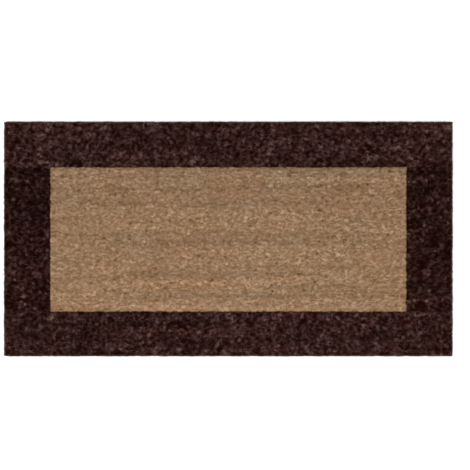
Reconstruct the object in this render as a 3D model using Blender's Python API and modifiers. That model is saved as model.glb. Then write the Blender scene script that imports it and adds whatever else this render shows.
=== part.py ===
"""A rectangular coir door mat with a plain contrasting border.

Tufts of coir stand upright on one anti-slip vinyl sheet. The middle of the mat is a panel of
natural coir. Four strips of coir dyed dark brown frame it: the rear and the front strip run
the mat's full length, and the left and the right strip stand between them.

Metres, +Z up. The origin is the middle of the underside, +X runs along the mat's long side
and +Y towards its rear edge. Each panel of pile is one plain block, as tall as its tufts.
"""

import bpy

# The whole mat.
MAT_LENGTH = 0.750
MAT_DEPTH = 0.392
MAT_THICKNESS = 0.017

# The vinyl sheet, and the width of each border strip.
BACKING_THICKNESS = 0.002
SIDE_STRIP_WIDTH = 0.0772
REAR_STRIP_WIDTH = 0.0763
FRONT_STRIP_WIDTH = 0.0747

# The space kept between pieces that touch.
GAP = 0.0003

# How far the cut edge of the vinyl and the outer rim of the pile are rounded off.
BACKING_ROUNDING = 0.0003
PILE_ROUNDING = 0.0015
PILE_ROUNDING_SEGMENTS = 3

# Finishes: linear colour and roughness.
NATURAL_COIR = ((0.352, 0.216, 0.119), 0.92)
DYED_COIR = ((0.040, 0.017, 0.014), 0.92)
VINYL = ((0.030, 0.022, 0.018), 0.60)

# The levels that the pieces are built from.
HALF_LENGTH = MAT_LENGTH / 2
HALF_DEPTH = MAT_DEPTH / 2
PILE_FOOT = BACKING_THICKNESS + GAP

# The borders between the strips and the centre panel.
LEFT_BORDER = -HALF_LENGTH + SIDE_STRIP_WIDTH
RIGHT_BORDER = HALF_LENGTH - SIDE_STRIP_WIDTH
REAR_BORDER = HALF_DEPTH - REAR_STRIP_WIDTH
FRONT_BORDER = -HALF_DEPTH + FRONT_STRIP_WIDTH


def clear_scene():
    for obj in list(bpy.data.objects):
        bpy.data.objects.remove(obj, do_unlink=True)


def new_collection(name):
    collection = bpy.data.collections.new(name)
    bpy.context.scene.collection.children.link(collection)
    return collection


def finish_material(name, finish):
    colour, roughness = finish
    material = bpy.data.materials.new(name)
    material.use_nodes = True
    shader = material.node_tree.nodes["Principled BSDF"]
    shader.inputs["Base Color"].default_value = (*colour, 1.0)
    shader.inputs["Roughness"].default_value = roughness
    shader.inputs["Metallic"].default_value = 0.0
    material.diffuse_color = (*colour, 1.0)
    return material


def block(name, collection, low, high, material):
    """A cuboid from its lowest to its highest corner, with its origin at its own middle."""
    bpy.ops.mesh.primitive_cube_add(size=1)
    piece = bpy.context.active_object
    piece.name = name
    piece.data.name = name
    piece.scale = [top - bottom for bottom, top in zip(low, high)]
    bpy.ops.object.transform_apply(location=False, rotation=False, scale=True)
    piece.location = [(bottom + top) / 2 for bottom, top in zip(low, high)]
    piece.data.materials.append(material)
    for owner in list(piece.users_collection):
        owner.objects.unlink(piece)
    collection.objects.link(piece)
    return piece


def is_outer_rim(piece, edge):
    """True for an upper edge that lies on the outside of the whole mat."""
    ends = [piece.location + piece.data.vertices[index].co for index in edge.vertices]
    on_top = all(end.z > MAT_THICKNESS - GAP for end in ends)
    on_a_side = all(abs(end.x) > HALF_LENGTH - GAP for end in ends)
    on_front_or_rear = all(abs(end.y) > HALF_DEPTH - GAP for end in ends)
    return on_top and (on_a_side or on_front_or_rear)


def round_outer_rim(piece):
    weights = piece.data.attributes.new("bevel_weight_edge", "FLOAT", "EDGE")
    for edge in piece.data.edges:
        weights.data[edge.index].value = float(is_outer_rim(piece, edge))
    bevel = piece.modifiers.new("Rounded rim", "BEVEL")
    bevel.limit_method = "WEIGHT"
    bevel.width = PILE_ROUNDING
    bevel.segments = PILE_ROUNDING_SEGMENTS


def backing_sheet(collection):
    """The vinyl sheet that holds the feet of all the tufts and grips the floor."""
    low = (-HALF_LENGTH, -HALF_DEPTH, 0.0)
    high = (HALF_LENGTH, HALF_DEPTH, BACKING_THICKNESS)
    sheet = block("backing_sheet", collection, low, high, finish_material("vinyl", VINYL))
    bevel = sheet.modifiers.new("Cut edge", "BEVEL")
    bevel.width = BACKING_ROUNDING
    bevel.segments = 1
    return sheet


def pile(name, collection, x_range, y_range, material):
    """A panel of upright tufts, from just above the vinyl to the top of the mat."""
    low = (x_range[0], y_range[0], PILE_FOOT)
    high = (x_range[1], y_range[1], MAT_THICKNESS)
    return block(name, collection, low, high, material)


def centre_pile(collection):
    natural = finish_material("natural_coir", NATURAL_COIR)
    across = (LEFT_BORDER + GAP / 2, RIGHT_BORDER - GAP / 2)
    along = (FRONT_BORDER + GAP / 2, REAR_BORDER - GAP / 2)
    return pile("centre_pile", collection, across, along, natural)


def border_piles(collection):
    """The dyed strips: rear and front over the full length, left and right between them."""
    dyed = finish_material("dyed_coir", DYED_COIR)
    full_length = (-HALF_LENGTH, HALF_LENGTH)
    between = (FRONT_BORDER + GAP / 2, REAR_BORDER - GAP / 2)
    strips = {
        "rear_border_pile": (full_length, (REAR_BORDER + GAP / 2, HALF_DEPTH)),
        "front_border_pile": (full_length, (-HALF_DEPTH, FRONT_BORDER - GAP / 2)),
        "left_border_pile": ((-HALF_LENGTH, LEFT_BORDER - GAP / 2), between),
        "right_border_pile": ((RIGHT_BORDER + GAP / 2, HALF_LENGTH), between),
    }
    pieces = []
    for name, (x_range, y_range) in strips.items():
        strip = pile(name, collection, x_range, y_range, dyed)
        round_outer_rim(strip)
        pieces.append(strip)
    return pieces


def main():
    clear_scene()
    collection = new_collection("door_mat")
    mat = bpy.data.objects.new("door_mat", None)
    collection.objects.link(mat)
    pieces = [backing_sheet(collection), centre_pile(collection), *border_piles(collection)]
    for piece in pieces:
        piece.parent = mat


main()
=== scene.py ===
"""The looks of a coir door mat: bristling panels of cut coir on a ribbed vinyl sheet.

Each panel of pile is a low, lumpy core, with thousands of separate fibres standing in it.
The fibres stand in tufts, the tufts in rows along X, as coir yarn is set into vinyl. Along
the mat's four cut sides a second kind of fibre, straighter and longer, rises from the vinyl
to the top and makes the bristly wall that shows there. Loose fibres lie across the top.

Metres, in the frame of the CAD model: +X along the mat's long side, +Y towards its rear.
"""

import math
from dataclasses import dataclass

import bmesh
import bpy
import numpy as np
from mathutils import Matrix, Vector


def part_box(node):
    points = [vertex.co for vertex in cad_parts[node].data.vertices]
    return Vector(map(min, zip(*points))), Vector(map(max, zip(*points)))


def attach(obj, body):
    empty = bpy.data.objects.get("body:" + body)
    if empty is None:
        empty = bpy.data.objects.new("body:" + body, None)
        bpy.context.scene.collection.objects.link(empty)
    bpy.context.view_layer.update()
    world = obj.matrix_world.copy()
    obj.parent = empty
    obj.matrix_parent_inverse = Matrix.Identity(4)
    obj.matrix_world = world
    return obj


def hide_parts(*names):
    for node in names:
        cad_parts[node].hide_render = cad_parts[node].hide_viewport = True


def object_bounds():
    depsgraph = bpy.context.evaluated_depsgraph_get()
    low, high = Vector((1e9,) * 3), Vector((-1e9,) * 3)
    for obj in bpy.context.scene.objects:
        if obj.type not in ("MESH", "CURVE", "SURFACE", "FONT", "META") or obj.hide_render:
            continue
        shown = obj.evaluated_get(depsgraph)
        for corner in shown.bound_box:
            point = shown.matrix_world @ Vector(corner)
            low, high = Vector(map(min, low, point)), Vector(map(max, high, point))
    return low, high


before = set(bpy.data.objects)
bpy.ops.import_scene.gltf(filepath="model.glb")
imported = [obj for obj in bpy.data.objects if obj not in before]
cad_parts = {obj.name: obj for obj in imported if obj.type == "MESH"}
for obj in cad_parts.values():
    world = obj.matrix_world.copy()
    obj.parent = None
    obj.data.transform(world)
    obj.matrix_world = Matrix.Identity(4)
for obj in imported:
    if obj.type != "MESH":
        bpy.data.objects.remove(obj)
CAD_LOW, CAD_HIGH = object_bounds()

SEED = 7

# Levels, from the CAD: the vinyl's top, and the top of the pile.
VINYL_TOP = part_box("backing_sheet")[1].z
PILE_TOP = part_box("centre_pile")[1].z

# The CAD keeps this much space between its pieces, which the pile grows over.
CAD_GAP = 0.0003

# Every fibre's thickness is its kind's, times a factor from this range, and its tip is thinner.
THICKNESS_RANGE = (0.75, 1.25)
TIP_THICKNESS = 0.75

# Tufts: their pitch along X and Y, the stagger of their rows and how far they stray, as shares
# of the pitch, and how far a tuft's fibres spread and lean as one.
TUFT_PITCH = (0.0052, 0.0036)
ROW_STAGGER = 0.25
TUFT_JITTER = 0.30
TUFT_SPREAD = (0.0014, 0.0010)
TUFT_LEAN = 0.0010

# The fibres in one tuft. Each bends at its middle, which is this share of the way out to the
# tip and up to it.
FIBRES_PER_TUFT = 20
FIBRE_RADIUS = 0.00032
FIBRE_LEAN = (0.0010, 0.0034)
FIBRE_ROOT = 0.0065
FIBRE_BEND = 0.00025
MIDDLE_OUT = 0.30
MIDDLE_UP = 0.60
TIP_DROP = 0.0006

# How far the tips reach past the mat's own sides, and past the border between two panels.
TIPS_PAST_SIDE = (0.0006, 0.0014)
TIPS_PAST_BORDER = 0.0005

# The clumps that the tufts' ends gather in, as a random field with a standard deviation of 1:
# its cells, and how many of them a clump is spread over each way.
FIELD_CELL = 0.0006
KERNEL_CELLS = 10

# The gaps between clumps are where the field is lower than GAP_START. They get this much deeper
# for each 1 that it falls, until it has fallen by GAP_END.
GAP_START = -0.3
GAP_END = 3
GAP_DEPTH = 0.0012

# How many pits there are to a square metre, and as many glints, and how far below or above
# the field's middle they are. In a pit the tips sink into a real hollow, and their tone is
# lowered as painted shade; a glint is a painted highlight, a tuft whose tone is raised.
SPOTS_PER_AREA = 1200.0
PIT_WEIGHT = 7.0
GLINT_WEIGHT = 5.0

# How far a clump, and a single fibre, strays from the middle tone.
CLUMP_TONE = 0.122
FIBRE_TONE = 0.03

# The fibres of the cut sides: how far in they stand, how they lean and bow along the side and
# splay out of it, and how many there are to a metre. Their levels are shares of their height.
WALL_DEPTH = (0.0002, 0.0028)
WALL_LEAN = 0.0014
WALL_BOW = 0.0004
WALL_SPLAY = (0.0, 0.0018)
WALL_TOP = 0.0004
WALL_TIP_DROP = 0.0009
WALL_RADIUS = 0.00028
WALL_TONE = 0.17
WALL_FIBRES = 9000
WALL_LEVELS = (-0.08, 0.04, 0.35, 0.7, 1.0)

# The loose fibres lying on top: how many there are to a square metre, and how they lie. Their
# turn is in radians off X, and their bow is a share of their length.
STRAYS_PER_AREA = 1500.0
STRAY_LENGTH = (0.007, 0.016)
STRAY_TURN = 0.5
STRAY_BOW = 0.12
STRAY_LEVELS = 7
STRAY_DEPTH = 0.0002
STRAY_SINK = 0.0025
STRAY_RADIUS = 0.00026
# Their tones lie above the pile's middle, a painted highlight along the loose fibres.
STRAY_TONE = (0.55, 0.95)

# The core under the tufts.
CORE_TOP = 0.0112
CORE_ROUGHNESS = 0.0009
CORE_GRID = 0.0022
CORE_INSET = 0.0016
CORE_SINK = 0.0002

# The fibres drawn on the core: how many there are to a metre, their width as a share of their
# length, how many bends there are to a metre and how far those take the fibres aside, and how
# deep the grooves between them look.
MATTED_FIBRES = 1500.0
MATTED_SLENDERNESS = 0.35
MATTED_BENDS = 120.0
MATTED_WANDER = 0.008
MATTED_DEPTH = 0.0004

# The most triangles that one piece of pile holds, and how tall a fibre's cell of the texture
# map is for its width.
MOST_TRIANGLES = 170_000
CELL_PROPORTION = 2.5

# The ribs under the vinyl sheet.
RIB_PITCH = 0.006
RIB_FLAT = 0.003
RIB_SLOPE = 0.0004
RIB_HEIGHT = 0.00035

# The vinyl's shades, the pale dust that the floor leaves on the ribs and how thick it gets,
# and the fibres cut through in the edge, with the levels between which they come to show.
VINYL_SHADES = [(0.3, (0.020, 0.015, 0.012)), (0.7, (0.034, 0.026, 0.021))]
DUST = (0.115, 0.100, 0.085)
MOST_DUST = 0.55
CUT_FEET = (0.105, 0.052, 0.036)
CUT_FEET_LEVELS = (0.3 * VINYL_TOP, 0.8 * VINYL_TOP)

# Roughness where the noise is low and where it is high, how deep the relief looks, and the
# coir's weak gloss.
COIR_ROUGHNESS = (0.70, 0.92)
COIR_GLOSS = 0.03
GRAIN_DEPTH = 0.0001
VINYL_ROUGHNESS = (0.48, 0.66)
PORE_DEPTH = 0.00008

# Noises: how many to a metre, how detailed, and how stretched along X, Y and Z, where under 1
# draws the noise out.
FIBRE_GRAIN = (900.0, 2.0, (1, 1, 0.3))
PATCHES = (28.0, 3.0)
STREAKS = (90.0, 3.0, (0.03, 1, 1))
HUES = (30.0, 2.0, (0.5, 1, 1))
MOTTLE = (40.0, 4.0)
PORES = (1400.0, 2.0)
SCUFFS = (160.0, 6.0, (0.4, 1, 1))
FLECKS = (1300.0, 1.0, (1, 1, 0.5))

# How bright a fibre is at its foot and at its tip, before its own colour. Its foot is dimmed
# partly by dirt and partly by painted shade of the pile around it, and the core, which has no
# place along a fibre, takes the foot's value all over.
FOOT_DIRT_AND_SHADE_TO_TIP = (0.85, 1.05)

# Where the coir's change of brightness from rear to front starts and ends: the centre panel's
# own ends.
REAR_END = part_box("centre_pile")[1].y
FRONT_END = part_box("centre_pile")[0].y

# The studio.
FLOOR_SIZE = 12.0
FLOOR_COLOUR = (0.90, 0.90, 0.90)
SOFTBOX_SIZE = (2.4, 1.8)
SOFTBOX_PLACE = (-0.2, -0.3, 2.3)
SOFTBOX_POWER = 72.0

# The camera: straight above, with the mat a little left of and below the picture's middle, by
# these shares of the picture's width.
LENS = 150.0
SENSOR = 36.0
PICTURE_WIDTH = 1.0484 * (CAD_HIGH.x - CAD_LOW.x)
OFF_CENTRE = (0.0143, 0.0085)


@dataclass
class Panel:
    """One panel of pile: its CAD node, its coir, its plan and its outer sides.

    low and high are its corners in X and Y. outer_low and outer_high say which of its sides
    are the mat's own.
    """

    node: str
    slot: str
    kind: object
    material: object
    core_material: object
    low: np.ndarray
    high: np.ndarray
    outer_low: np.ndarray
    outer_high: np.ndarray


def panel(node, slot, kind, material, core_material):
    low, high = (np.array(corner[:2]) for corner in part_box(node))
    outer_low = np.isclose(low, CAD_LOW[:2], atol=CAD_GAP)
    outer_high = np.isclose(high, CAD_HIGH[:2], atol=CAD_GAP)
    low = np.where(outer_low, low, low - CAD_GAP / 2)
    high = np.where(outer_high, high, high + CAD_GAP / 2)
    return Panel(node, slot, kind, material, core_material, low, high, outer_low, outer_high)


# ---------------------------------------------------------------- node helpers


def new_material(name):
    material = bpy.data.materials.new(name)
    material.use_nodes = True
    return material, material.node_tree, material.node_tree.nodes["Principled BSDF"]


def node(tree, kind, **settings):
    made = tree.nodes.new(kind)
    for name, value in settings.items():
        setattr(made, name, value)
    return made


def place(tree, axis):
    """The X, Y or Z of each point, in metres."""
    coordinates = node(tree, "ShaderNodeTexCoord")
    split = node(tree, "ShaderNodeSeparateXYZ")
    tree.links.new(coordinates.outputs["Object"], split.inputs[0])
    return split.outputs[axis]


def noise(tree, scale, detail=2.0, stretch=(1, 1, 1)):
    """Noise in object space; a stretch under 1 along an axis draws it out along that axis."""
    coordinates = node(tree, "ShaderNodeTexCoord")
    squeeze = node(tree, "ShaderNodeVectorMath", operation="MULTIPLY")
    squeeze.inputs[1].default_value = stretch
    made = node(tree, "ShaderNodeTexNoise")
    made.inputs["Scale"].default_value = scale
    made.inputs["Detail"].default_value = detail
    tree.links.new(coordinates.outputs["Object"], squeeze.inputs[0])
    tree.links.new(squeeze.outputs[0], made.inputs["Vector"])
    return made.outputs["Fac"]


def attribute(tree, name):
    return node(tree, "ShaderNodeAttribute", attribute_name=name).outputs["Fac"]


def maths(tree, operation, first, second):
    made = node(tree, "ShaderNodeMath", operation=operation)
    for socket, value in zip(made.inputs, (first, second)):
        if isinstance(value, (int, float)):
            socket.default_value = value
        else:
            tree.links.new(value, socket)
    return made.outputs[0]


def remap(tree, value, from_low, from_high, to_low, to_high):
    made = node(tree, "ShaderNodeMapRange")
    tree.links.new(value, made.inputs["Value"])
    made.inputs["From Min"].default_value = from_low
    made.inputs["From Max"].default_value = from_high
    made.inputs["To Min"].default_value = to_low
    made.inputs["To Max"].default_value = to_high
    return made.outputs["Result"]


def ramp(tree, value, stops):
    made = node(tree, "ShaderNodeValToRGB")
    elements = made.color_ramp.elements
    while len(elements) < len(stops):
        elements.new(0.5)
    for element, (position, colour) in zip(elements, stops):
        element.position = position
        element.color = (*colour, 1.0)
    tree.links.new(value, made.inputs["Fac"])
    return made.outputs["Color"]


def scale_colour(tree, colour, amount):
    made = node(tree, "ShaderNodeVectorMath", operation="SCALE")
    tree.links.new(colour, made.inputs[0])
    tree.links.new(amount, made.inputs["Scale"])
    return made.outputs[0]


def mix_colour(tree, amount, first, second, blend="MIX"):
    made = node(tree, "ShaderNodeMix", data_type="RGBA", blend_type=blend)
    for name, value in (("Factor", amount), ("A", first), ("B", second)):
        socket = next(s for s in made.inputs if s.name == name and s.enabled)
        if isinstance(value, (int, float)):
            socket.default_value = value
        elif isinstance(value, tuple):
            socket.default_value = (*value, 1.0)
        else:
            tree.links.new(value, socket)
    return next(s for s in made.outputs if s.enabled)


def bump(tree, shader, height, distance, strength=0.5):
    made = node(tree, "ShaderNodeBump")
    made.inputs["Strength"].default_value = strength
    made.inputs["Distance"].default_value = distance
    tree.links.new(height, made.inputs["Height"])
    tree.links.new(made.outputs["Normal"], shader.inputs["Normal"])


# ------------------------------------------------------------------ materials


@dataclass
class Coir:
    """One kind of coir.

    shades: its colour at each tone, from 0 to 1.
    casts: the two tints that it wanders between, as factors.
    contrast: how far its tones are drawn apart.
    patchiness, streakiness: how much its patches and its streaks lighten and darken it.
    deep_tones: the range of tones that the fibres drawn on its core have.
    clump_reach: how far its clumps reach along X and Y.
    lean_stretch: how much more or less its fibres lean along X and Y, as factors.
    """

    shades: list
    casts: tuple
    contrast: float
    patchiness: float
    streakiness: float
    deep_tones: tuple
    clump_reach: tuple
    lean_stretch: tuple


NATURAL = Coir(
    shades=[
        (0.00, (0.108, 0.046, 0.011)),
        (0.25, (0.241, 0.141, 0.065)),
        (0.50, (0.380, 0.249, 0.145)),
        (0.75, (0.478, 0.334, 0.214)),
        (1.00, (0.550, 0.400, 0.268)),
    ],
    casts=((1.030, 0.985, 0.975), (0.984, 1.006, 1.008)),
    contrast=1.0,
    patchiness=0.02,
    streakiness=0.17,
    deep_tones=(0.20, 0.90),
    clump_reach=(0.0017, 0.0012),
    lean_stretch=(1.1, 0.75),
)

DARK_BROWN = Coir(
    shades=[
        (0.00, (0.0080, 0.0003, 0.0001)),
        (0.25, (0.0195, 0.0042, 0.0028)),
        (0.50, (0.0510, 0.0208, 0.0165)),
        (0.75, (0.0970, 0.0495, 0.0430)),
        (1.00, (0.1600, 0.0940, 0.0850)),
    ],
    casts=((1.024, 0.985, 0.960), (0.976, 1.015, 1.040)),
    contrast=1.35,
    patchiness=0.32,
    streakiness=0.32,
    deep_tones=(0.10, 0.60),
    clump_reach=(0.0017, 0.0016),
    lean_stretch=(1.1, 0.9),
)


def varied(tree, value, amount):
    """A factor of 1, give or take this amount where the noise is at its usual extremes."""
    return remap(tree, value, 0.3, 0.7, 1 - amount, 1 + amount)


def coir_shade(tree, kind, fade):
    """How much the coir lightens and darkens from place to place, from rear to front, and
    towards its foot, where it is partly dirt and partly painted shade.
    """
    # Painted shade and dirt: each fibre dims towards its foot, deep in the pile.
    foot = remap(tree, attribute(tree, "along"), 0.0, 1.0, *FOOT_DIRT_AND_SHADE_TO_TIP)
    patches = varied(tree, noise(tree, *PATCHES), kind.patchiness)
    streaks = varied(tree, noise(tree, *STREAKS), kind.streakiness)
    rear_to_front = remap(tree, place(tree, "Y"), REAR_END, FRONT_END, *fade)
    shade = maths(tree, "MULTIPLY", foot, patches)
    shade = maths(tree, "MULTIPLY", shade, streaks)
    return maths(tree, "MULTIPLY", shade, rear_to_front)


def matted_fibres(tree, deep_tones):
    """The tone and relief of fibres lying side by side, mostly along X but bending about, with
    painted shade in the grooves between them.
    """
    coordinates = node(tree, "ShaderNodeTexCoord")
    wander = node(tree, "ShaderNodeTexNoise")
    wander.inputs["Scale"].default_value = MATTED_BENDS
    bend = node(tree, "ShaderNodeVectorMath", operation="MULTIPLY_ADD")
    bend.inputs[1].default_value = (MATTED_WANDER, MATTED_WANDER, MATTED_WANDER)
    squeeze = node(tree, "ShaderNodeVectorMath", operation="MULTIPLY")
    squeeze.inputs[1].default_value = (MATTED_SLENDERNESS, 1.0, 1.0)
    cells = node(tree, "ShaderNodeTexVoronoi")
    cells.inputs["Scale"].default_value = MATTED_FIBRES
    own = node(tree, "ShaderNodeSeparateXYZ")
    tree.links.new(coordinates.outputs["Object"], wander.inputs["Vector"])
    tree.links.new(wander.outputs["Color"], bend.inputs[0])
    tree.links.new(coordinates.outputs["Object"], bend.inputs[2])
    tree.links.new(bend.outputs[0], squeeze.inputs[0])
    tree.links.new(squeeze.outputs[0], cells.inputs["Vector"])
    tree.links.new(cells.outputs["Color"], own.inputs[0])
    relief = remap(tree, cells.outputs["Distance"], 0.1, 0.7, 1.0, 0.0)
    own_tone = remap(tree, own.outputs[0], 0.0, 1.0, *deep_tones)
    # Painted shade: the drawn fibres' tone falls into the grooves between them.
    painted_groove_shade = remap(tree, relief, 0.0, 0.6, 0.2, 1.0)
    return maths(tree, "MULTIPLY", own_tone, painted_groove_shade), relief


def coir(name, kind, fade, darker=0.0, matted=False):
    """Coir coloured by its fibres' tones, with every tone lowered by its painted shade.

    Its brightness at the rear and at the front is given too. The tones are those in the mesh of
    fibres, or on a matted surface those of the fibres drawn on it, with painted shade in the
    grooves between them, and the dimming of a fibre's foot, partly dirt and partly painted
    shade, all over.
    """
    material, tree, shader = new_material(name)
    grain = noise(tree, *FIBRE_GRAIN)
    if matted:
        tone, relief = matted_fibres(tree, kind.deep_tones)
        bump(tree, shader, relief, MATTED_DEPTH, 1.0)
    else:
        tone = attribute(tree, "tone")
        bump(tree, shader, grain, GRAIN_DEPTH)
    # Painted shade lowers every tone.
    lowest = 0.5 - kind.contrast / 2 - darker
    tone = remap(tree, tone, 0.0, 1.0, lowest, lowest + kind.contrast)
    colour = ramp(tree, tone, kind.shades)
    hue = remap(tree, noise(tree, *HUES), 0.35, 0.65, 0.0, 1.0)
    colour = mix_colour(tree, 1.0, colour, mix_colour(tree, hue, *kind.casts), "MULTIPLY")
    colour = scale_colour(tree, colour, coir_shade(tree, kind, fade))
    tree.links.new(colour, shader.inputs["Base Color"])
    tree.links.new(remap(tree, grain, 0.2, 0.8, *COIR_ROUGHNESS), shader.inputs["Roughness"])
    shader.inputs["Specular IOR Level"].default_value = COIR_GLOSS
    return material


def coir_pair(name, *looks, **more):
    """The coir of a panel's fibres, and the same coir on its core."""
    return coir(name, *looks, **more), coir(f"{name}_core", *looks, matted=True, **more)


def vinyl():
    """Dull dark vinyl, with dusty scuffs on its ribs and the ends of cut fibres in its edge."""
    material, tree, shader = new_material("vinyl_backing")
    mottle = noise(tree, *MOTTLE)
    colour = ramp(tree, mottle, VINYL_SHADES)
    level = place(tree, "Z")
    underneath = remap(tree, level, 0.5 * RIB_HEIGHT, 0.0, 0.0, 1.0)
    scuffs = remap(tree, noise(tree, *SCUFFS), 0.48, 0.68, 0.0, MOST_DUST)
    colour = mix_colour(tree, maths(tree, "MULTIPLY", underneath, scuffs), colour, DUST)
    at_feet = remap(tree, level, *CUT_FEET_LEVELS, 0.0, 1.0)
    flecks = remap(tree, noise(tree, *FLECKS), 0.54, 0.64, 0.0, 1.0)
    colour = mix_colour(tree, maths(tree, "MULTIPLY", at_feet, flecks), colour, CUT_FEET)
    tree.links.new(colour, shader.inputs["Base Color"])
    roughness = remap(tree, mottle, 0.3, 0.7, *VINYL_ROUGHNESS)
    tree.links.new(roughness, shader.inputs["Roughness"])
    bump(tree, shader, noise(tree, *PORES), PORE_DEPTH, 0.6)
    return material


def studio_floor():
    material, tree, shader = new_material("studio_floor")
    shader.inputs["Base Color"].default_value = (*FLOOR_COLOUR, 1.0)
    shader.inputs["Roughness"].default_value = 1.0
    shader.inputs["Specular IOR Level"].default_value = 0.0
    return material


# --------------------------------------------------------------------- fibres


def polar(angles, lengths):
    """Offsets in X and Y of these lengths, at these angles from X."""
    return np.stack([np.cos(angles) * lengths, np.sin(angles) * lengths], axis=1)


def tuft_centres(area, rng):
    """Tufts in rows along X, staggered from row to row, and none quite in its place."""
    size = area.high - area.low
    columns, rows = np.maximum(1, np.round(size / TUFT_PITCH)).astype(int)
    column, row = (grid.ravel() for grid in np.meshgrid(np.arange(columns), np.arange(rows)))
    stagger = ROW_STAGGER * (-1.0) ** row
    spots = np.stack([column + 0.5 + stagger, row + 0.5], axis=1)
    spots += rng.uniform(-TUFT_JITTER, TUFT_JITTER, spots.shape)
    return area.low + spots * size / (columns, rows)


def clump_field(area, rng):
    """A smooth random field over the panel: clumps above 0, gaps below it, pits and glints."""
    cells = np.ceil((area.high - area.low) / FIELD_CELL).astype(int) + 2
    field = rng.normal(0, 1, cells)
    draw = rng.uniform(0, 1, cells)
    chance = SPOTS_PER_AREA * FIELD_CELL**2
    spots = GLINT_WEIGHT * (draw > 1 - chance) - PIT_WEIGHT * (draw < chance)
    for axis, reach in enumerate(area.kind.clump_reach):
        steps = np.arange(-KERNEL_CELLS, KERNEL_CELLS + 1) * FIELD_CELL / reach
        kernel = np.exp(-(steps**2) / 2)
        field = np.apply_along_axis(np.convolve, axis, field, kernel, mode="same")
        spots = np.apply_along_axis(np.convolve, axis, spots, kernel, mode="same")
    return field / field.std() + spots


def at_places(field, area, places):
    """The field's value at each of these places on the panel."""
    cells = ((places - area.low) / FIELD_CELL + 1).astype(int)
    cells = np.clip(cells, 0, np.array(field.shape) - 1)
    return field[cells[:, 0], cells[:, 1]]


def kept_inside(points, area, rng, outside):
    """Points brought back to the panel's edge, give or take what a fibre strays over it."""
    stray = np.abs(rng.normal(0, TIPS_PAST_BORDER, points.shape))
    over_low = np.where(area.outer_low, outside, stray)
    over_high = np.where(area.outer_high, outside, stray)
    return np.clip(points, area.low - over_low, area.high + over_high)


def tufted_fibres(area, rng):
    """Root, middle and tip of every fibre in the panel's tufts, and each one's tone."""
    centres = tuft_centres(area, rng)
    tufts = len(centres)
    of_tuft = np.repeat(np.arange(tufts), FIBRES_PER_TUFT)
    count = len(of_tuft)
    tuft_lean = rng.normal(0, TUFT_LEAN, (tufts, 2))
    roots = centres[of_tuft] + rng.normal(0, 1, (count, 2)) * TUFT_SPREAD
    roots = np.clip(roots, area.low + FIBRE_RADIUS, area.high - FIBRE_RADIUS)
    lean = tuft_lean[of_tuft] + area.kind.lean_stretch * polar(
        rng.uniform(0, 2 * math.pi, count), rng.uniform(*FIBRE_LEAN, count)
    )
    tips = kept_inside(roots + lean, area, rng, rng.uniform(*TIPS_PAST_SIDE, (count, 2)))
    middles = roots + MIDDLE_OUT * (tips - roots) + rng.normal(0, FIBRE_BEND, (count, 2))
    middles = np.clip(middles, area.low, area.high)
    clump = at_places(clump_field(area, rng), area, tips)
    tip_height = PILE_TOP - np.abs(rng.normal(0, TIP_DROP, count))
    tip_height -= GAP_DEPTH * np.clip(GAP_START - clump, 0, GAP_END)
    middle_height = FIBRE_ROOT + MIDDLE_UP * (tip_height - FIBRE_ROOT)
    root_height = np.full(count, FIBRE_ROOT)
    levels = [
        np.column_stack([roots, root_height]),
        np.column_stack([middles, middle_height]),
        np.column_stack([tips, tip_height]),
    ]
    # Tone follows the clump field: partly the random tone of clumps and single fibres, partly
    # painted shade in the sunken gaps and pits and a painted highlight on the glints.
    tone = 0.5 + CLUMP_TONE * clump + FIBRE_TONE * rng.normal(0, 1, count)
    return np.stack(levels, axis=1), np.clip(tone, 0, 1)


def wall_fibres(start, end, inward, rng):
    """Upright fibres along one cut side, from start to end, standing WALL_DEPTH in from it."""
    run = end - start
    count = int(np.linalg.norm(run) * WALL_FIBRES)
    share = rng.uniform(0, 1, count)
    depth = rng.uniform(*WALL_DEPTH, count)
    along = run / np.linalg.norm(run)
    tip_height = PILE_TOP - WALL_TOP - np.abs(rng.normal(0, WALL_TIP_DROP, count))
    lean = rng.normal(0, WALL_LEAN, count)
    bow = rng.normal(0, WALL_BOW, count)
    splay = rng.uniform(*WALL_SPLAY, count)
    inset = depth / np.linalg.norm(run)
    share = inset + share * (1 - 2 * inset)
    levels = []
    for height_share in WALL_LEVELS:
        offset = lean * height_share**2 + bow * math.sin(math.pi * height_share)
        into = depth - splay * height_share**2
        flat = start + share[:, None] * run + offset[:, None] * along + into[:, None] * inward
        height = VINYL_TOP + height_share * (tip_height - VINYL_TOP)
        levels.append(np.column_stack([flat, height]))
    tone = 0.5 + WALL_TONE * rng.normal(0, 1, count)
    return np.stack(levels, axis=1), np.clip(tone, 0, 1)


def stray_fibres(area, rng):
    """Long loose fibres that lie across the top of the pile with their ends sunk in it."""
    size = area.high - area.low
    count = int(size[0] * size[1] * STRAYS_PER_AREA)
    length = rng.uniform(*STRAY_LENGTH, count)
    turn = rng.normal(0, STRAY_TURN, count)
    heading = np.stack([np.cos(turn), np.sin(turn)], axis=1)
    aside = np.stack([-heading[:, 1], heading[:, 0]], axis=1)
    margin = STRAY_LENGTH[1] / 2 * np.abs(heading)
    centres = area.low + margin + rng.uniform(0, 1, (count, 2)) * (size - 2 * margin)
    bow = rng.normal(0, STRAY_BOW, count) * length
    levels = []
    for share in np.linspace(-1, 1, STRAY_LEVELS):
        flat = centres + heading * (share * length / 2)[:, None]
        flat = flat + aside * (bow * (1 - share**2))[:, None]
        height = PILE_TOP - STRAY_DEPTH - STRAY_SINK * share**4
        levels.append(np.column_stack([flat, np.full(count, height)]))
    tone = rng.uniform(*STRAY_TONE, count)
    return np.stack(levels, axis=1), tone


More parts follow.
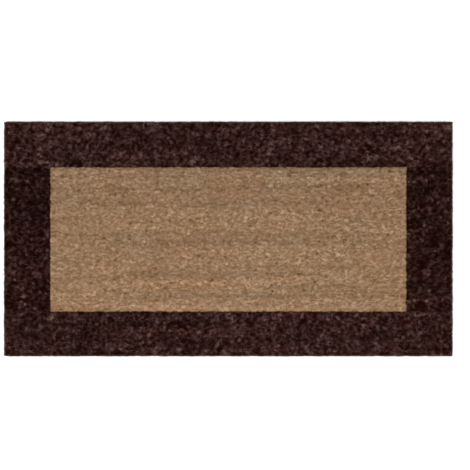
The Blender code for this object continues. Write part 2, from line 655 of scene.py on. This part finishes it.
def cut_sides(area):
    """(start, end, inward) of each of the panel's sides that is the mat's own."""
    (x0, y0), (x1, y1) = area.low, area.high
    sides = [
        (area.outer_low[0], (x0, y0), (x0, y1), (1, 0)),
        (area.outer_high[0], (x1, y0), (x1, y1), (-1, 0)),
        (area.outer_low[1], (x0, y0), (x1, y0), (0, 1)),
        (area.outer_high[1], (x0, y1), (x1, y1), (0, -1)),
    ]
    return [tuple(np.array(v, float) for v in side[1:]) for side in sides if side[0]]


def ring_points(levels, radii, rng):
    """Three corners round each fibre at every level but the first, as (fibres, levels, 3, 3)."""
    along = np.gradient(levels, axis=1)[:, 1:]
    along /= np.linalg.norm(along, axis=2, keepdims=True)
    side = rng.normal(0, 1, (len(levels), 1, 3))
    first = np.cross(along, side)
    first /= np.linalg.norm(first, axis=2, keepdims=True)
    second = np.cross(along, first)
    corners = []
    for corner in range(3):
        angle = corner * 2 * math.pi / 3
        spoke = first * math.cos(angle) + second * math.sin(angle)
        corners.append(levels[:, 1:] + spoke * radii[:, :, None])
    return np.stack(corners, axis=2)


def fibre_faces(fibres, rings):
    """Faces of closed three-sided fibres: a pointed foot, walls between rings and a cut end."""
    per_fibre = 1 + 3 * rings
    corner = np.arange(3)
    after = (corner + 1) % 3
    foot = np.column_stack([np.zeros(3, int), 1 + after, 1 + corner])
    end = np.array([[per_fibre - 3, per_fibre - 2, per_fibre - 1]])
    walls = []
    for ring in range(rings - 1):
        below, above = 1 + 3 * ring, 4 + 3 * ring
        walls.append(
            np.column_stack([below + corner, below + after, above + after, above + corner])
        )
    starts = (np.arange(fibres) * per_fibre)[:, None, None]
    triangles = (starts + np.concatenate([foot, end])).reshape(-1, 3)
    quads = (starts + np.concatenate(walls)).reshape(-1, 4)
    return triangles.tolist() + quads.tolist()


def strip_map(fibres, rings):
    """A UV place for every vertex, with each fibre on its own tall, narrow cell of the map."""
    columns = math.ceil(math.sqrt(CELL_PROPORTION * fibres))
    rows = math.ceil(fibres / columns)
    cell = np.array([1 / columns, 1 / rows])
    index = np.arange(fibres)
    corner = np.stack([index % columns, index // columns], axis=1)[:, None, :]
    across = np.concatenate([[0.5], np.tile([0.15, 0.5, 0.85], rings)])
    upward = np.concatenate([[0.08], np.repeat(np.linspace(0.3, 0.92, rings), 3)])
    return ((corner + np.stack([across, upward], axis=1)[None]) * cell).reshape(-1, 2)


def fibre_object(name, levels, radius, tone, material, rng):
    """One mesh of many fibres that run through these levels, thinner at the tip."""
    fibres, rings = len(levels), levels.shape[1] - 1
    thickness = rng.uniform(*THICKNESS_RANGE, (fibres, 1)) * radius
    radii = thickness * np.linspace(1.0, TIP_THICKNESS, rings)[None]
    points = ring_points(levels, radii, rng).reshape(fibres, -1, 3)
    points = np.concatenate([levels[:, :1], points], axis=1)
    mesh = bpy.data.meshes.new(name)
    mesh.from_pydata(points.reshape(-1, 3), [], fibre_faces(fibres, rings))
    mesh.shade_smooth()
    along = np.concatenate([[0.0], np.repeat(np.linspace(1 / rings, 1, rings), 3)])
    for attribute_name, values in (
        ("tone", np.repeat(tone, points.shape[1])),
        ("along", np.tile(along, fibres)),
    ):
        layer = mesh.attributes.new(attribute_name, "FLOAT", "POINT")
        layer.data.foreach_set("value", values.astype(np.float32))
    add_strip_map(mesh, strip_map(fibres, rings))
    mesh.materials.append(material)
    piece = bpy.data.objects.new(name, mesh)
    bpy.context.scene.collection.objects.link(piece)
    return piece


def add_strip_map(mesh, places):
    layer = mesh.uv_layers.new(name="OFBake")
    corner = np.empty(len(mesh.loops), np.int32)
    mesh.loops.foreach_get("vertex_index", corner)
    layer.data.foreach_set("uv", places[corner].astype(np.float32).ravel())


def in_sections(area, levels, tone, triangles_each):
    """The panel's fibres split across X or Y into sections under the limit of one piece."""
    sections = math.ceil(len(levels) * triangles_each / MOST_TRIANGLES)
    size = area.high - area.low
    axis = int(size[1] > size[0])
    share = (levels[:, 0, axis] - area.low[axis]) / size[axis]
    owner = np.clip((share * sections).astype(int), 0, sections - 1)
    return [(levels[owner == s], tone[owner == s]) for s in range(sections)]


def grow_pile(area, rng):
    """Every fibre of one panel, in as few pieces as the limit allows."""
    levels, tone = tufted_fibres(area, rng)
    triangles_each = 6 * (levels.shape[1] - 2) + 4
    pieces = []
    for number, (some, their_tone) in enumerate(in_sections(area, levels, tone, triangles_each)):
        name = f"{area.node}_tufts_{number + 1}"
        pieces.append(fibre_object(name, some, FIBRE_RADIUS, their_tone, area.material, rng))
    levels, tone = stray_fibres(area, rng)
    name = f"{area.node}_stray_fibres"
    pieces.append(fibre_object(name, levels, STRAY_RADIUS, tone, area.material, rng))
    sides = [wall_fibres(*side, rng) for side in cut_sides(area)]
    if sides:
        levels = np.concatenate([side[0] for side in sides])
        tone = np.concatenate([side[1] for side in sides])
        name = f"{area.node}_cut_edge"
        pieces.append(fibre_object(name, levels, WALL_RADIUS, tone, area.material, rng))
    return pieces


# ----------------------------------------------------------- cores and backing


def core(area, rng):
    """The lumpy block that the tufts stand in, set back from the mat's cut sides."""
    low = area.low + np.where(area.outer_low, CORE_INSET, 0.0)
    high = area.high - np.where(area.outer_high, CORE_INSET, 0.0)
    size = high - low
    columns, rows = np.ceil(size / CORE_GRID).astype(int)
    bpy.ops.mesh.primitive_grid_add(x_subdivisions=columns, y_subdivisions=rows, size=1)
    piece = bpy.context.active_object
    piece.name = f"{area.node}_core"
    mesh = piece.data
    points = np.empty(len(mesh.vertices) * 3, np.float32)
    mesh.vertices.foreach_get("co", points)
    points = points.reshape(-1, 3)
    points[:, :2] = low + (points[:, :2] + 0.5) * size
    points[:, 2] = CORE_TOP + rng.normal(0, CORE_ROUGHNESS, len(points))
    mesh.vertices.foreach_set("co", points.ravel())
    close_below(mesh, VINYL_TOP - CORE_SINK)
    mesh.shade_smooth()
    mesh.materials.append(area.core_material)
    return piece


def close_below(mesh, floor):
    """Walls from the surface's boundary down to the level floor, and a flat face across it."""
    shape = bmesh.new()
    shape.from_mesh(mesh)
    rim = [edge for edge in shape.edges if edge.is_boundary]
    made = bmesh.ops.extrude_edge_only(shape, edges=rim)["geom"]
    for element in made:
        if isinstance(element, bmesh.types.BMVert):
            element.co.z = floor
    lower = [e for e in made if isinstance(e, bmesh.types.BMEdge) and e.is_boundary]
    bmesh.ops.contextual_create(shape, geom=lower)
    bmesh.ops.recalc_face_normals(shape, faces=shape.faces)
    shape.to_mesh(mesh)
    shape.free()


def rib_outline(low, high):
    """The sheet's end view, as (y, z): flat on top, and ribs with sloped sides below."""
    ribs = round((high[1] - low[1]) / RIB_PITCH)
    pitch = (high[1] - low[1]) / ribs
    groove = pitch - RIB_FLAT - 2 * RIB_SLOPE
    outline = [(low[1], high[2]), (low[1], low[2])]
    for rib in range(1, ribs):
        middle = low[1] + rib * pitch
        outline += [
            (middle - groove / 2 - RIB_SLOPE, low[2]),
            (middle - groove / 2, low[2] + RIB_HEIGHT),
            (middle + groove / 2, low[2] + RIB_HEIGHT),
            (middle + groove / 2 + RIB_SLOPE, low[2]),
        ]
    return outline + [(high[1], low[2]), (high[1], high[2])]


def backing(material):
    """The vinyl sheet, ribbed underneath, as the outline of its end drawn out along X."""
    low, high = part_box("backing_sheet")
    shape = bmesh.new()
    end = [shape.verts.new((low.x, y, z)) for y, z in rib_outline(low, high)]
    face = shape.faces.new(end)
    made = bmesh.ops.extrude_face_region(shape, geom=[face])["geom"]
    for element in made:
        if isinstance(element, bmesh.types.BMVert):
            element.co.x = high.x
    bmesh.ops.recalc_face_normals(shape, faces=shape.faces)
    mesh = bpy.data.meshes.new("backing")
    shape.to_mesh(mesh)
    shape.free()
    mesh.materials.append(material)
    piece = bpy.data.objects.new("backing", mesh)
    bpy.context.scene.collection.objects.link(piece)
    return piece


# ---------------------------------------------------------------------- studio


def build_floor():
    bpy.ops.mesh.primitive_plane_add(size=FLOOR_SIZE, location=(0, 0, CAD_LOW.z))
    floor = bpy.context.active_object
    floor.name = "studio_floor"
    floor.data.materials.append(studio_floor())


def build_lights():
    world = bpy.data.worlds.new("studio")
    world.use_nodes = True
    world.node_tree.nodes["Background"].inputs["Color"].default_value = (1.0, 1.0, 1.0, 1.0)
    world.node_tree.nodes["Background"].inputs["Strength"].default_value = 1.0
    bpy.context.scene.world = world
    lamp = bpy.data.lights.new("softbox", "AREA")
    lamp.shape = "RECTANGLE"
    lamp.size, lamp.size_y = SOFTBOX_SIZE
    lamp.energy = SOFTBOX_POWER
    softbox = bpy.data.objects.new("softbox", lamp)
    softbox.location = SOFTBOX_PLACE
    softbox.rotation_euler = (-softbox.location).to_track_quat("-Z", "Y").to_euler()
    bpy.context.scene.collection.objects.link(softbox)


def build_camera():
    """Straight above the mat, far enough away for the picture to be PICTURE_WIDTH wide."""
    data = bpy.data.cameras.new("camera")
    data.lens = LENS
    data.sensor_width = SENSOR
    camera = bpy.data.objects.new("camera", data)
    centre = (CAD_LOW + CAD_HIGH) / 2
    camera.location = (
        centre.x + OFF_CENTRE[0] * PICTURE_WIDTH,
        centre.y + OFF_CENTRE[1] * PICTURE_WIDTH,
        PILE_TOP + PICTURE_WIDTH * LENS / SENSOR,
    )
    bpy.context.scene.collection.objects.link(camera)
    bpy.context.scene.camera = camera
    bpy.context.scene.view_settings.view_transform = "Standard"


def main():
    natural = coir_pair("natural_coir", NATURAL, fade=(0.94, 1.065))
    strips = coir_pair("dyed_coir_long_strips", DARK_BROWN, fade=(0.97, 0.95))
    # The side strips: the long strips' dark brown coir with painted shade, its tone lowered and
    # its brightness set lower towards the rear, as the light falls otherwise on their pile.
    painted_shade_side_strips = coir_pair("dyed_coir_side_strips_painted_shade", DARK_BROWN, fade=(0.64, 0.96), darker=0.10)
    panels = [
        panel("centre_pile", "natural_coir", NATURAL, *natural),
        panel("rear_border_pile", "dyed_coir", DARK_BROWN, *strips),
        panel("front_border_pile", "dyed_coir", DARK_BROWN, *strips),
        panel("left_border_pile", "dyed_coir", DARK_BROWN, *painted_shade_side_strips),
        panel("right_border_pile", "dyed_coir", DARK_BROWN, *painted_shade_side_strips),
    ]
    for number, area in enumerate(panels):
        rng = np.random.default_rng(SEED + number)
        for piece in [core(area, rng), *grow_pile(area, rng)]:
            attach(piece, "root")
            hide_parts(area.node)
    sheet = backing(vinyl())
    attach(sheet, "root")
    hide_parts("backing_sheet")
    build_floor()
    build_lights()
    build_camera()


main()
